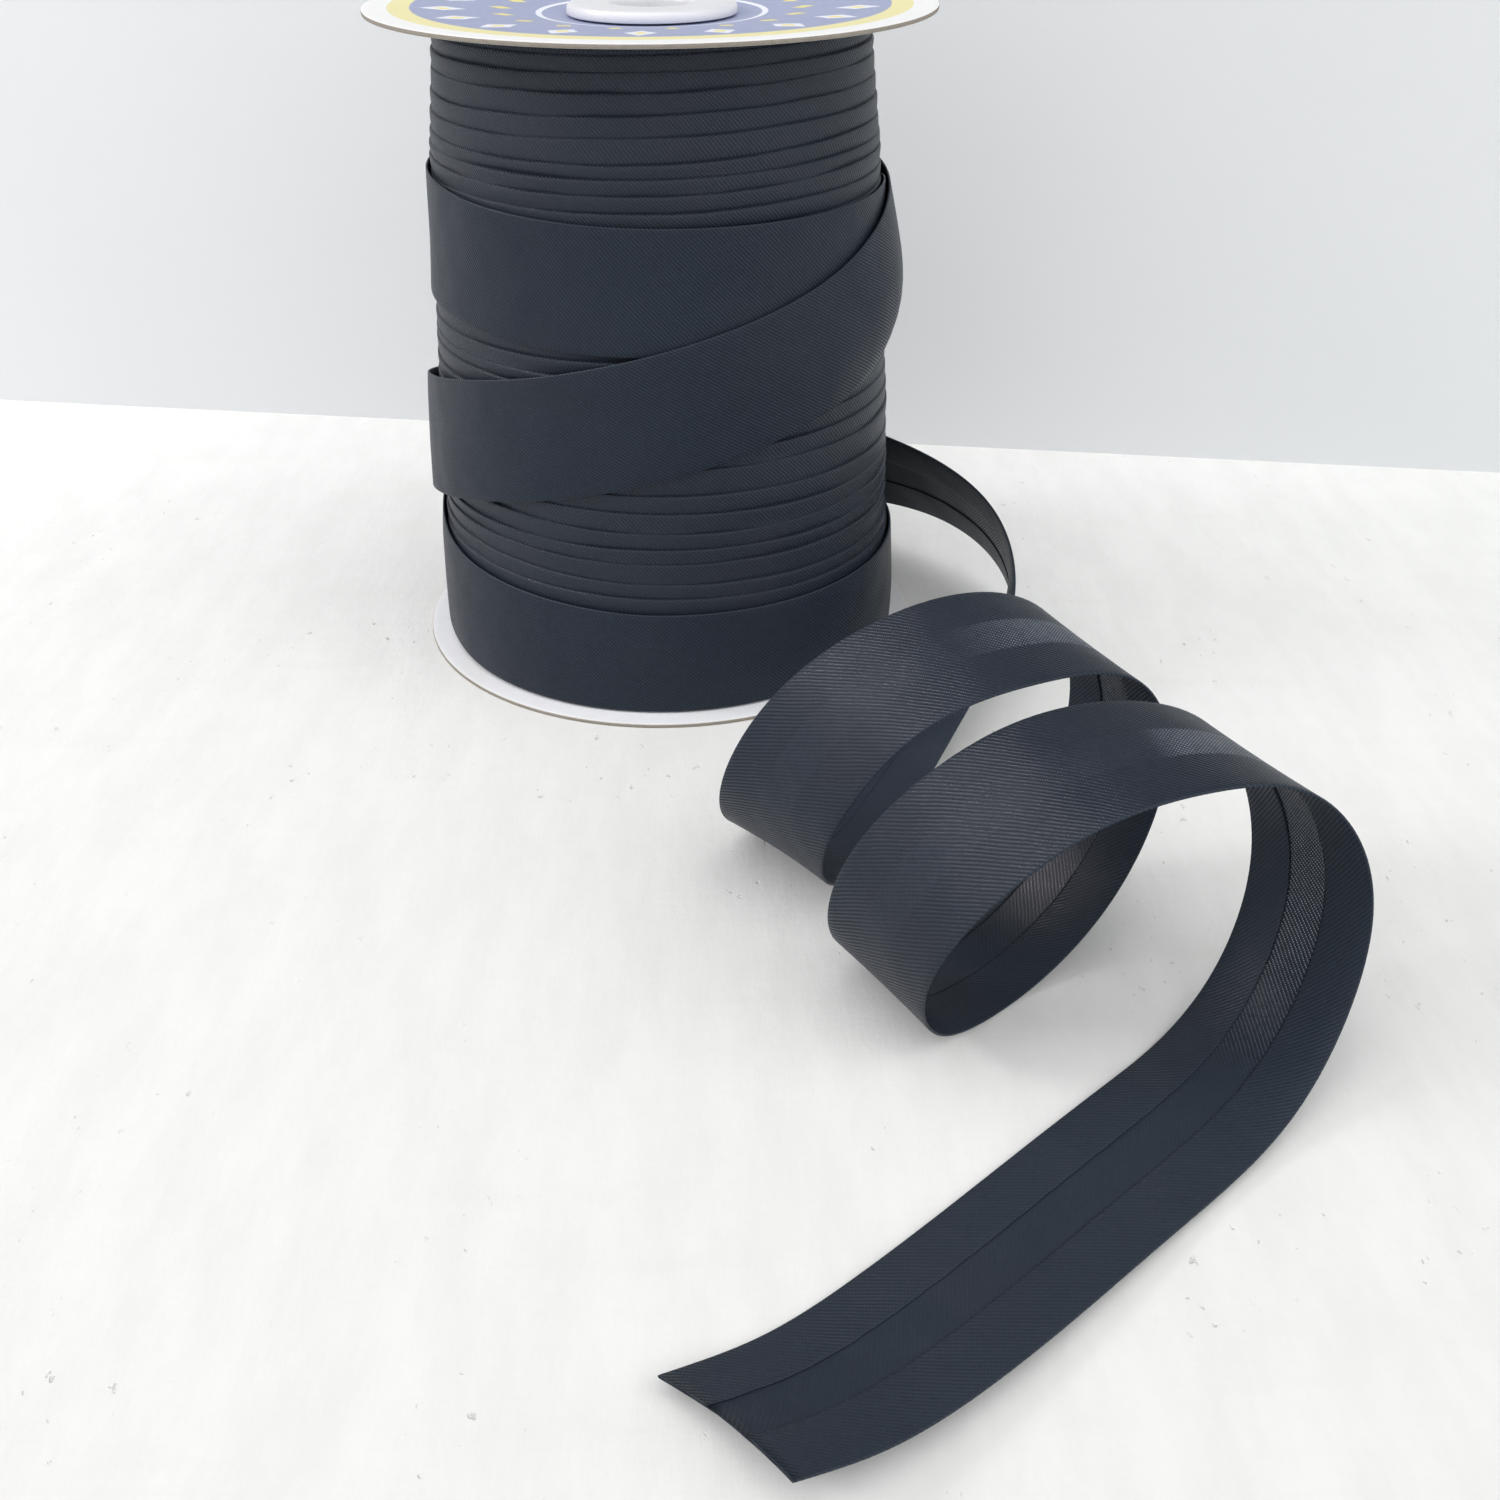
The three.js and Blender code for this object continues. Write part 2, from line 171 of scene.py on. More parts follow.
# ---- materials -------------------------------------------------------------------------------------
class Mat:
    """A node material built in short calls."""

    def __init__(self, name):
        self.mat = bpy.data.materials.new(name)
        self.mat.use_nodes = True
        self.tree = self.mat.node_tree
        self.tree.nodes.clear()
        self.out = self.add("ShaderNodeOutputMaterial")
        self.bsdf = self.add("ShaderNodeBsdfPrincipled")
        self.tree.links.new(self.bsdf.outputs[0], self.out.inputs[0])

    def add(self, kind, **props):
        n = self.tree.nodes.new(kind)
        for k, v in props.items():
            setattr(n, k, v)
        return n

    def put(self, socket, value):
        if isinstance(value, bpy.types.NodeSocket):
            self.tree.links.new(value, socket)
        else:
            socket.default_value = value

    def set(self, **values):
        for k, v in values.items():
            self.put(self.bsdf.inputs[k.replace("_", " ")], v)

    def math(self, op, a, b=0.0, c=0.0, clamp=False):
        n = self.add("ShaderNodeMath", operation=op, use_clamp=clamp)
        for i, v in enumerate((a, b, c)):
            self.put(n.inputs[i], v)
        return n.outputs[0]

    def vmath(self, op, a, b=(0, 0, 0)):
        n = self.add("ShaderNodeVectorMath", operation=op)
        self.put(n.inputs[0], a)
        self.put(n.inputs[1], b)
        return n.outputs[1] if op in ("LENGTH", "DOT_PRODUCT") else n.outputs[0]

    def uv(self, name):
        n = self.add("ShaderNodeUVMap", uv_map=name)
        s = self.add("ShaderNodeSeparateXYZ")
        self.put(s.inputs[0], n.outputs[0])
        return s.outputs[0], s.outputs[1]

    def coords(self):
        return self.add("ShaderNodeTexCoord").outputs["Object"]

    def split(self, v):
        s = self.add("ShaderNodeSeparateXYZ")
        self.put(s.inputs[0], v)
        return s.outputs

    def noise(self, vector, scale, detail=2.0, rough=0.5, dims="3D"):
        n = self.add("ShaderNodeTexNoise", noise_dimensions=dims)
        self.put(n.inputs["Vector"], vector)
        self.put(n.inputs["Scale"], scale)
        self.put(n.inputs["Detail"], detail)
        self.put(n.inputs["Roughness"], rough)
        return n.outputs[0]

    def range(self, v, a, b, c=0.0, d=1.0, kind="SMOOTHSTEP"):
        n = self.add("ShaderNodeMapRange", interpolation_type=kind)
        for i, x in enumerate((v, a, b, c, d)):
            self.put(n.inputs[i], x)
        return n.outputs[0]

    def mix(self, fac, a, b, blend="MIX"):
        n = self.add("ShaderNodeMix", data_type="RGBA", blend_type=blend)
        self.put(n.inputs[0], fac)
        self.put(n.inputs[6], a)
        self.put(n.inputs[7], b)
        return n.outputs[2]

    def bump(self, height, strength, distance, normal=None):
        n = self.add("ShaderNodeBump")
        self.put(n.inputs["Height"], height)
        self.put(n.inputs["Strength"], strength)
        self.put(n.inputs["Distance"], distance)
        if normal is not None:
            self.put(n.inputs["Normal"], normal)
        return n.outputs[0]


def rgb(r, g, b):
    """sRGB 0..255 to linear."""
    return tuple(((c / 255 + 0.055) / 1.055) ** 2.4 if c > 10 else c / 255 / 12.92 for c in (r, g, b)) + (1.0,)


YARN = 0.62                       # pitch of the slanting yarn lines, millimetres


def satin(name, sheer=None):
    """Dark satin cut on the bias: raised yarn lines on the slant, crossed by fine dashes.
    sheer: stretches of the strip whose single cloth lets light through between its yarns."""
    m = Mat(name)
    u, v = m.uv("weave")
    pos = m.coords()
    sway = m.math("MULTIPLY", m.math("SUBTRACT", m.noise(pos, 60.0, 2.0), 0.5), 0.8)
    uw = m.math("ADD", u, sway)
    turn = 2 * math.pi / (YARN * math.sqrt(2))
    fine = m.noise(pos, 5200.0, 1.0, 0.6)
    slub = m.noise(pos, 900.0, 2.0, 0.6)
    patch = m.noise(pos, 38.0, 3.0, 0.55)
    ridge = m.math("MULTIPLY_ADD", m.math("SINE", m.math("MULTIPLY", m.math("SUBTRACT", uw, v), turn)), 0.5, 0.5)
    dash = m.math("MULTIPLY_ADD", m.math("SINE", m.math("MULTIPLY", m.math("ADD", uw, v), turn * 1.5)), 0.5, 0.5)
    thread = m.math("MULTIPLY", ridge, m.math("MULTIPLY_ADD", dash, 0.5, 0.5))
    if sheer:                                   # the cloth's wrong side has flatter yarns
        across, layer = m.uv("place")
        face = m.math("GREATER_THAN", m.math("ABSOLUTE", m.math("SUBTRACT", layer, 0.25)), 0.1)
        thread = m.math("MULTIPLY_ADD", m.math("SUBTRACT", thread, 0.35), m.math("MULTIPLY_ADD", face, 0.65, 0.35), 0.35)
    height = m.math("ADD", thread, m.math("MULTIPLY", m.math("SUBTRACT", fine, 0.5), 0.8))
    if sheer:                                   # the loose strip is never quite smooth
        height = m.math("ADD", height, m.math("MULTIPLY", m.noise(pos, 70.0, 1.0), 22.0))
    normal = m.bump(height, 1.0 if sheer else 0.6, 0.00005 if sheer else 0.00014)
    # painted sheen: the raised yarns are painted lighter than the hollows between them, more so along the slubs
    painted_yarn_sheen = m.math("MULTIPLY", thread, m.math("MULTIPLY_ADD", slub, 1.5, 0.25), clamp=True)
    colour = m.mix(painted_yarn_sheen, rgb(25, 32, 41), rgb(41, 50, 61))
    tint = m.range(patch, 0.46, 0.72)
    colour = m.mix(m.math("MULTIPLY", tint, 0.35), colour, rgb(38, 40, 49))
    if sheer:                                   # painted light: the turned-in flaps and the cloth's wrong side are painted paler, lifting the shade inside the hoops
        colour = m.mix(m.math("MULTIPLY", m.math("GREATER_THAN", layer, 0.1), 0.26), colour, rgb(60, 68, 78))
    rough = m.math("ADD", m.range(thread, 0.12, 0.50, 0.62, 0.25, "LINEAR"), m.math("MULTIPLY", fine, 0.08))
    m.set(Base_Color=colour, Normal=normal, Roughness=rough)
    m.set(Specular_IOR_Level=0.17 if sheer else 0.26, Sheen_Weight=0.0)
    if sheer:
        gap = m.math("MULTIPLY", m.range(across, FLAP_LOW - 0.1, FLAP_LOW + 0.2),
                     m.range(across, 25.0 - FLAP_HIGH - 0.2, 25.0 - FLAP_HIGH + 0.1, 1.0, 0.0))
        gap = m.math("MULTIPLY", gap, m.math("LESS_THAN", layer, 0.5))
        open_weave = 0.0
        for start, full, end, shut, share in sheer:
            part = m.math("MULTIPLY", m.range(v, start, full), m.range(v, end, shut, share, 0.0))
            open_weave = m.math("MAXIMUM", part, open_weave)
        slit = m.math("MULTIPLY", m.range(ridge, 0.02, 0.36, 1.0, 0.0), m.range(dash, 0.30, 0.85, 0.10, 1.0))
        holes = m.math("MULTIPLY", m.math("MULTIPLY", slit, 0.12), open_weave)
        wrong = m.math("MULTIPLY", m.math("SUBTRACT", 1.0, face), m.math("MULTIPLY", open_weave, 0.8))
        through = m.math("MULTIPLY", gap, m.math("MAXIMUM", m.math("MULTIPLY", holes, face), wrong))
        m.set(Alpha=m.math("SUBTRACT", 1.0, through))
        # painted light: the slits of the open single cloth are painted pale, as light showing through the weave
        painted_backlight_dots = m.math("MULTIPLY", m.math("MULTIPLY", slit, gap), m.math("MULTIPLY", open_weave, m.range(slub, 0.3, 0.6, 0.55, 1.0)), clamp=True)
        m.set(Base_Color=m.mix(painted_backlight_dots, colour, rgb(162, 172, 187)))
    return m.mat


def reel_polar(m):
    """Radius and direction about the reel's axis, in millimetres and radians."""
    x, y, z = m.split(m.coords())
    x = m.math("SUBTRACT", m.math("MULTIPLY", x, 1000.0), REEL_X)
    y = m.math("SUBTRACT", m.math("MULTIPLY", y, 1000.0), REEL_Y)
    r = m.math("SQRT", m.math("ADD", m.math("MULTIPLY", x, x), m.math("MULTIPLY", y, y)))
    return r, m.math("ARCTAN2", y, x), m.math("MULTIPLY", z, 1000.0)


def motif_ring(m, r, phi, radius, count, long, wide, shift=0.0):
    """Mask of a ring of small lozenges."""
    sector = m.math("MULTIPLY_ADD", phi, count / (2 * math.pi), shift)
    side = m.math("SUBTRACT", m.math("FRACT", sector), 0.5)
    side = m.math("ABSOLUTE", m.math("MULTIPLY", side, 2 * math.pi * radius / count))
    along = m.math("ABSOLUTE", m.math("SUBTRACT", r, radius))
    d = m.math("ADD", m.math("DIVIDE", side, wide), m.math("DIVIDE", along, long))
    return m.range(d, 0.92, 1.08, 1.0, 0.0)


def printed_card():
    m = Mat("printed_card")
    r, phi, _ = reel_polar(m)
    pos = m.coords()
    grain = m.noise(pos, 900.0, 3.0, 0.6)
    white = m.mix(grain, rgb(236, 236, 234), rgb(248, 248, 247))
    field = m.mix(m.noise(pos, 240.0, 2.0), rgb(150, 158, 190), rgb(160, 168, 198))
    c = m.mix(motif_ring(m, r, phi, 41.0, 18, 4.6, 3.0), field, rgb(236, 238, 246))
    c = m.mix(motif_ring(m, r, phi, 41.0, 18, 2.0, 1.3), c, rgb(240, 226, 130))
    c = m.mix(motif_ring(m, r, phi, 30.0, 18, 2.4, 1.6, 0.5), c, rgb(240, 226, 130))
    line = m.math("LESS_THAN", m.math("ABSOLUTE", m.math("SUBTRACT", r, 22.5)), 0.6)
    c = m.mix(line, c, rgb(236, 238, 246))
    yellow = m.mix(grain, rgb(232, 224, 160), rgb(240, 232, 176))
    c = m.mix(m.range(r, 47.3, 47.6), c, yellow)
    c = m.mix(m.range(r, 51.6, 51.9), c, white)
    scuff = m.range(m.noise(pos, 130.0, 5.0, 0.7), 0.62, 0.8, 0.0, 0.3)
    c = m.mix(scuff, c, rgb(225, 224, 220))
    m.set(Base_Color=c, Roughness=m.range(grain, 0.2, 0.8, 0.38, 0.52, "LINEAR"), Specular_IOR_Level=0.45)
    m.set(Normal=m.bump(grain, 0.25, 0.00006))
    return m.mat


def plain_card():
    m = Mat("plain_card")
    pos = m.coords()
    grain = m.noise(pos, 700.0, 4.0, 0.6)
    cloud = m.noise(pos, 60.0, 3.0, 0.5)
    c = m.mix(grain, rgb(226, 227, 229), rgb(240, 241, 242))
    c = m.mix(m.range(cloud, 0.45, 0.75, 0.0, 0.35), c, rgb(222, 222, 220))
    m.set(Base_Color=c, Roughness=0.62, Specular_IOR_Level=0.35)
    m.set(Normal=m.bump(grain, 0.3, 0.00008))
    return m.mat


def cut_card():
    """Cut edge of the card: grey-brown board between two thin white papers."""
    m = Mat("cut_card")
    pos = m.coords()
    r, phi, z = reel_polar(m)
    fibre = m.noise(m.vmath("MULTIPLY", pos, (1.0, 1.0, 9.0)), 900.0, 4.0, 0.7)
    low = m.math("SUBTRACT", m.math("PINGPONG", z, REEL_HEIGHT / 2), 0.0)
    board = m.mix(fibre, rgb(104, 97, 86), rgb(168, 161, 150))
    depth = m.math("ABSOLUTE", m.math("SUBTRACT", low, CARD / 2))
    c = m.mix(m.range(depth, 0.34, 0.40), board, rgb(214, 212, 206))
    m.set(Base_Color=c, Roughness=0.85, Specular_IOR_Level=0.25)
    m.set(Normal=m.bump(fibre, 0.6, 0.0001))
    return m.mat


def hub_plastic():
    m = Mat("hub_plastic")
    pos = m.coords()
    mould = m.noise(pos, 260.0, 2.0, 0.4)
    scratch = m.noise(m.vmath("MULTIPLY", pos, (1.0, 6.0, 1.0)), 800.0, 3.0, 0.7)
    c = m.mix(m.range(scratch, 0.5, 0.8, 0.0, 0.4), rgb(222, 222, 224), rgb(212, 213, 217))
    m.set(Base_Color=c, Roughness=m.range(scratch, 0.3, 0.8, 0.26, 0.42, "LINEAR"), Specular_IOR_Level=0.5)
    m.set(Subsurface_Weight=0.12, Subsurface_Radius=(0.9, 0.9, 1.0), Subsurface_Scale=0.0012)
    m.set(Normal=m.bump(mould, 0.15, 0.00015))
    return m.mat


# ---- the reel ----------------------------------------------------------------------------------------
def dish(r, upper=False):
    """How far a flange's outer face lies in from the reel's end: nothing at the rim, most at the collar."""
    t = np.clip((np.asarray(r, float) - COLLAR_R) / (FLANGE_R - RIM_FLAT - COLLAR_R), 0, 1)
    return DISH_HIGH * (1 - t) ** 1.9 if upper else DISH_LOW * (1 - t ** 1.4)


def turned(name, profile, segments, flip=False, wobble=0.0, seed=0):
    """Ring about the reel's axis from a closed profile of (radius, height)."""
    prof = np.array(profile, float)
    a = 2 * math.pi * np.arange(segments) / segments
    r = prof[:, 0][:, None] + wobble * wander(a, seed, (2, 3, 7, 19, 41))[None] * (prof[:, 0][:, None] > FLANGE_R - 0.5)
    z = np.repeat(prof[:, 1][:, None], segments, 1)
    if flip:
        z = REEL_HEIGHT - z
    pts = np.stack([REEL_X + r * np.cos(a), REEL_Y + r * np.sin(a), z], -1).reshape(-1, 3)
    faces, cv, cu = grid_faces(len(prof), segments, True, True)
    if not outward(pts, faces):
        faces = faces[:, ::-1]
    return mesh_object(name, pts, faces), cv[:, 0]


def flange(name, upper):
    inner = TUBE_R + GAP
    radii = [inner, COLLAR_R, 22, 27, 32, 36, 40, 44, 47, 50, 52.5, FLANGE_R - RIM_FLAT]
    under = [(r, float(dish(r, upper))) for r in radii] + [(FLANGE_R - 0.22, 0.0), (FLANGE_R - 0.06, 0.06), (FLANGE_R, 0.2)]
    edge = [(FLANGE_R + 0.03, 0.5)]
    over = [(FLANGE_R, CARD - 0.2), (FLANGE_R - 0.06, CARD - 0.06), (FLANGE_R - 0.22, CARD)]
    over += [(r, float(dish(r, upper)) + CARD) for r in reversed(radii)]
    ob, band = turned(name, under + edge + over, 256, flip=upper, wobble=0.05, seed=11 + upper)
    outer_face, inner_face, cut = (printed_card() if upper else plain_card()), plain_card(), cut_card()
    for mat in (outer_face, inner_face, cut):
        ob.data.materials.append(mat)
    n = len(under)
    slot = np.where(band < n - 2, 0, np.where(band < n + 3, 2, 1))
    slot[band == len(under + edge + over) - 1] = 1
    ob.data.polygons.foreach_set("material_index", slot.astype(np.int32))
    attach(ob, "root")
    return ob


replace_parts(flange("reel_flange_low", False), "reel_flange_bottom")
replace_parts(flange("reel_flange_high", True), "reel_flange_top")


def hub():
    top = min(DISH_LOW, DISH_HIGH) - GAP
    half = [(BORE_R, 3.0), (BORE_R, 1.0), (BORE_R + 0.12, 0.5), (BORE_R + 0.45, 0.14), (BORE_R + 0.9, 0.0),
            (11.0, 0.0), (14.0, 0.0), (COLLAR_R - 1.3, 0.0), (COLLAR_R - 0.75, 0.1), (COLLAR_R - 0.32, 0.34),
            (COLLAR_R - 0.08, 0.75), (COLLAR_R, 1.25), (COLLAR_R, top - 0.15), (COLLAR_R - 0.15, top),
            (TUBE_R + 0.2, top), (TUBE_R, top + 0.25)]
    mirror = [(r, REEL_HEIGHT - z) for r, z in reversed(half)]
    ob, _ = turned("reel_core", half + mirror, 192)
    ob.data.materials.append(hub_plastic())
    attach(ob, "root")
    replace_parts(ob, "reel_hub")


hub()

# ---- the wound laps ------------------------------------------------------------------------------------
WOUND_PROFILE = [  # height above the table, radius
    (0.0, 51.4), (25.0, 50.8), (32.0, 50.1), (46.0, 49.9), (58.0, 49.3), (65.0, 48.7), (72.0, 48.4),
    (80.0, 47.7), (90.0, 46.9), (100.0, 46.5), (109.0, 46.1), (118.0, 45.0), (127.0, 44.0), (135.0, 43.2),
]
# height of each lap's folded upper edge, from the top lap down: at the right, in front, at the left
LAP_EDGES = [
    (131.3, 130.5, 130.0), (128.3, 127.7, 127.0), (125.4, 124.3, 123.7), (121.6, 120.6, 119.4),
    (117.8, 116.8, 115.8), (113.9, 112.3, 112.0), (110.7, 109.7, 109.6), (108.0, 106.7, 107.1),
    (104.4, 103.6, 103.8), (101.0, 100.2, 100.2), (97.2, 96.4, 96.4), (93.2, 92.4, 92.2),
    (89.2, 88.4, 88.2), (85.4, 84.4, 84.0), (81.4, 80.4, 79.8), (77.4, 76.3, 75.8),
    (73.2, 73.0, 72.6), (69.8, 69.6, 70.5), (66.0, 66.2, 66.5), (62.2, 62.4, 62.8),
    (58.4, 58.6, 59.2), (54.4, 55.0, 56.0), (48.8, 49.5, 51.0), (44.6, 45.7, 47.0),
    (40.9, 41.4, 43.2), (37.4, 37.9, 38.6), (34.2, 34.7, 35.9), (29.2, 30.2, 32.2), (26.2, 27.1, 28.9),
]
# a lap's surface from its edge down: z0 is millimetres from the edge, share is a share of the lap's height, r is from the wound profile
LAP_SECTION = [
    # z0, share, r
    (0.40, 0.0, -0.18), (0.14, 0.0, -0.26), (0.04, 0.0, -0.37), (0.00, 0.0, -0.28), (-0.02, 0.0, -0.06),
    (-0.10, 0.0, 0.10), (-0.30, 0.0, 0.18), (-0.70, 0.0, 0.19), (-0.2, -0.45, 0.07), (0.0, -0.78, -0.10),
]
COLUMNS = 320


def wound_radius(z):
    t = np.array(WOUND_PROFILE)
    return np.interp(z, t[:, 0], t[:, 1])


def around(values, direction):
    """Smooth periodic curve through a lap's heights at the right, in front and at the left, level across the back."""
    right, front, left = values
    xs = np.array([-150.0, -90.0, -30.0, 30.0, 90.0, 150.0])
    ys = np.array([left, front, right, 0.75 * right + 0.25 * left, 0.5 * (right + left), 0.25 * right + 0.75 * left])
    q = (direction + 150.0) % 360.0 / 60.0
    k = np.floor(q).astype(int)
    t = q - k
    y0, y1, y2, y3 = (ys[(k + j) % 6] for j in (-1, 0, 1, 2))
    return 0.5 * (2 * y1 + (y2 - y0) * t + (2 * y0 - 5 * y1 + 4 * y2 - y3) * t ** 2 + (3 * y1 - y0 - 3 * y2 + y3) * t ** 3)


def wound_laps():
    direction = 90.0 - 360.0 * np.arange(COLUMNS) / COLUMNS
    a = np.radians(direction)
    edges = []
    for k, row in enumerate(LAP_EDGES):
        edges.append(around(row, direction) + 0.10 * wander(a, 100 + k) + 0.10 * wander(a, 700 + k, (19, 31, 47)))
    rows, band_shift = [], []
    rng = np.random.default_rng(5)
    base_low = 1.75
    for k, e in enumerate(edges):
        below = edges[k + 1] if k + 1 < len(edges) else np.full_like(e, base_low)
        height = np.minimum(e - below, 4.6)
        swell = np.clip(0.90 + 0.45 * wander(a, 300 + k), 0.30, 1.5)
        for z0, share, dr in LAP_SECTION:
            z = e + z0 + share * height
            z = np.minimum(z, REEL_HEIGHT - dish(44.0, True) - CARD - 0.35)
            r = wound_radius(z) + dr * swell + 0.05 * wander(a, 500 + k, (4, 7, 11))
            rows.append((r, z))
            band_shift.append(k)
    last = edges[-1]
    for f in (0.2, 0.4, 0.6, 0.8, 0.93, 1.0):     # the lowest lap's face runs down to the flange
        z = last - 4.0 + (base_low - last + 4.0) * f
        rows.append((wound_radius(z) + 0.05 - 0.35 * (f >= 1.0), z))
        band_shift.append(len(edges))
    for r in (46.0, 36.0, 24.0, TUBE_R + GAP):     # underside, on the lower flange
        rows.append((np.full(COLUMNS, r), np.full(COLUMNS, float(dish(r)) + CARD + GAP)))
        band_shift.append(len(edges))
    for r in (TUBE_R + GAP, 24.0, 34.0, 42.6):     # top, under the upper flange
        rows.append((np.full(COLUMNS, r), np.full(COLUMNS, REEL_HEIGHT - float(dish(r, True)) - CARD - GAP)))
        band_shift.append(len(edges) + 1)
    r = np.stack([x[0] for x in rows])
    z = np.stack([x[1] for x in rows])
    pts = np.stack([REEL_X + r * np.cos(a), REEL_Y + r * np.sin(a), z], -1)
    faces, cv, cu = grid_faces(len(rows), COLUMNS, True, True)
    run = np.zeros(len(rows) + 1)
    step = np.hypot(np.diff(r.mean(1)), np.diff(z.mean(1)))
    run[1:-1] = np.cumsum(step)
    run[-1] = run[-2] + 1.0
    period = YARN * math.sqrt(2)
    length = round(2 * math.pi * 49.0 / period) * period
    shift = rng.uniform(0, period, len(edges) + 2)[np.array(band_shift)]
    uu = shift[cv[:, :1] % len(rows)] - run[cv]
    vv = length * cu / COLUMNS
    uv = np.stack([uu, vv], -1)
    flat = pts.reshape(-1, 3)
    if not outward(flat, faces):
        faces, uv = faces[:, ::-1], uv[:, ::-1]
    ob = mesh_object("wound_laps", flat, faces, uv)
    ob.data.materials.append(satin("satin_wound"))
    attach(ob, "root")
    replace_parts(ob, "binding_roll")
    return ob


wound_laps()

# ---- the folded strip: lowest lap, up across the back, once round, down across the front, and away ------
# turn: degrees round the reel from its right side, clockwise seen from above; mid: height of the strip's
# middle; half: half its width; low, high: how far its lower and upper edge stand proud; belly: extra at its middle
STRIP_ON_REEL = [
    # turn,   mid,  half,   low,  high, belly
    (-472.0, 14.9, 12.3, -0.50, -0.50, 0.0), (-452.0, 14.5, 12.3, 0.30, 0.20, 0.0),
    (-430.0, 14.0, 12.2, 1.05, 1.00, 0.1), (-390.0, 13.3, 11.7, 1.15, 1.10, 0.3),
    (-355.0, 13.0, 11.4, 1.15, 1.10, 0.4), (-330.0, 12.7, 11.1, 1.10, 1.10, 0.5),
    (-300.0, 12.7, 11.1, 1.10, 1.10, 0.5), (-270.0, 12.8, 11.2, 1.10, 1.10, 0.5),
    (-245.0, 13.4, 11.7, 1.15, 1.10, 0.4), (-220.0, 14.3, 12.2, 1.20, 1.10, 0.3),
    (-200.0, 16.0, 12.4, 1.20, 1.10, 0.2), (-191.0, 17.5, 12.5, 1.15, 1.10, 0.1),
    (-175.0, 21.0, 12.5, 1.10, 1.10, 0.0), (-160.0, 25.4, 12.5, 1.10, 1.10, 0.0),
    (-125.0, 38.5, 12.5, 1.10, 1.10, 0.0), (-90.0, 55.0, 12.5, 1.10, 1.10, 0.0),
    (-55.0, 71.5, 12.5, 1.10, 1.10, 0.0), (-25.0, 82.8, 12.4, 1.10, 1.10, 0.0),
    (5.0, 88.9, 12.0, 1.10, 1.10, 0.0), (45.0, 88.9, 12.0, 1.10, 1.10, 0.0),
    (90.0, 89.4, 11.9, 1.10, 1.10, 0.0), (112.0, 89.9, 11.95, 1.10, 1.10, 0.0),
    (136.0, 90.8, 12.0, 1.10, 1.10, 0.0), (156.0, 91.8, 12.2, 1.12, 1.10, 0.0),
    (180.0, 92.3, 12.3, 1.15, 1.15, 0.0), (250.0, 92.0, 12.5, 1.30, 1.20, 0.1),
    (292.0, 91.4, 12.5, 2.15, 1.40, 0.2), (340.0, 90.0, 12.5, 2.30, 2.10, 0.9),
    (360.0, 87.6, 12.5, 2.40, 2.20, 1.9), (376.0, 83.6, 12.4, 2.30, 2.20, 2.4),
    (400.0, 76.9, 12.4, 2.10, 2.20, 1.4), (435.0, 68.7, 12.3, 1.30, 2.20, 0.4),
    (465.0, 62.2, 12.3, 1.20, 2.10, 0.2), (498.0, 55.4, 12.4, 1.60, 1.60, 0.0),
    (516.0, 51.6, 12.5, 2.40, 2.00, 0.0), (524.0, 50.1, 12.5, 2.90, 2.50, 0.0),
    (531.6, 48.63, 12.5, 3.40, 3.10, 0.0), (540.0, 46.6, 12.5, 3.6, 3.3, 0.0),
]
TURN_END = 531.56
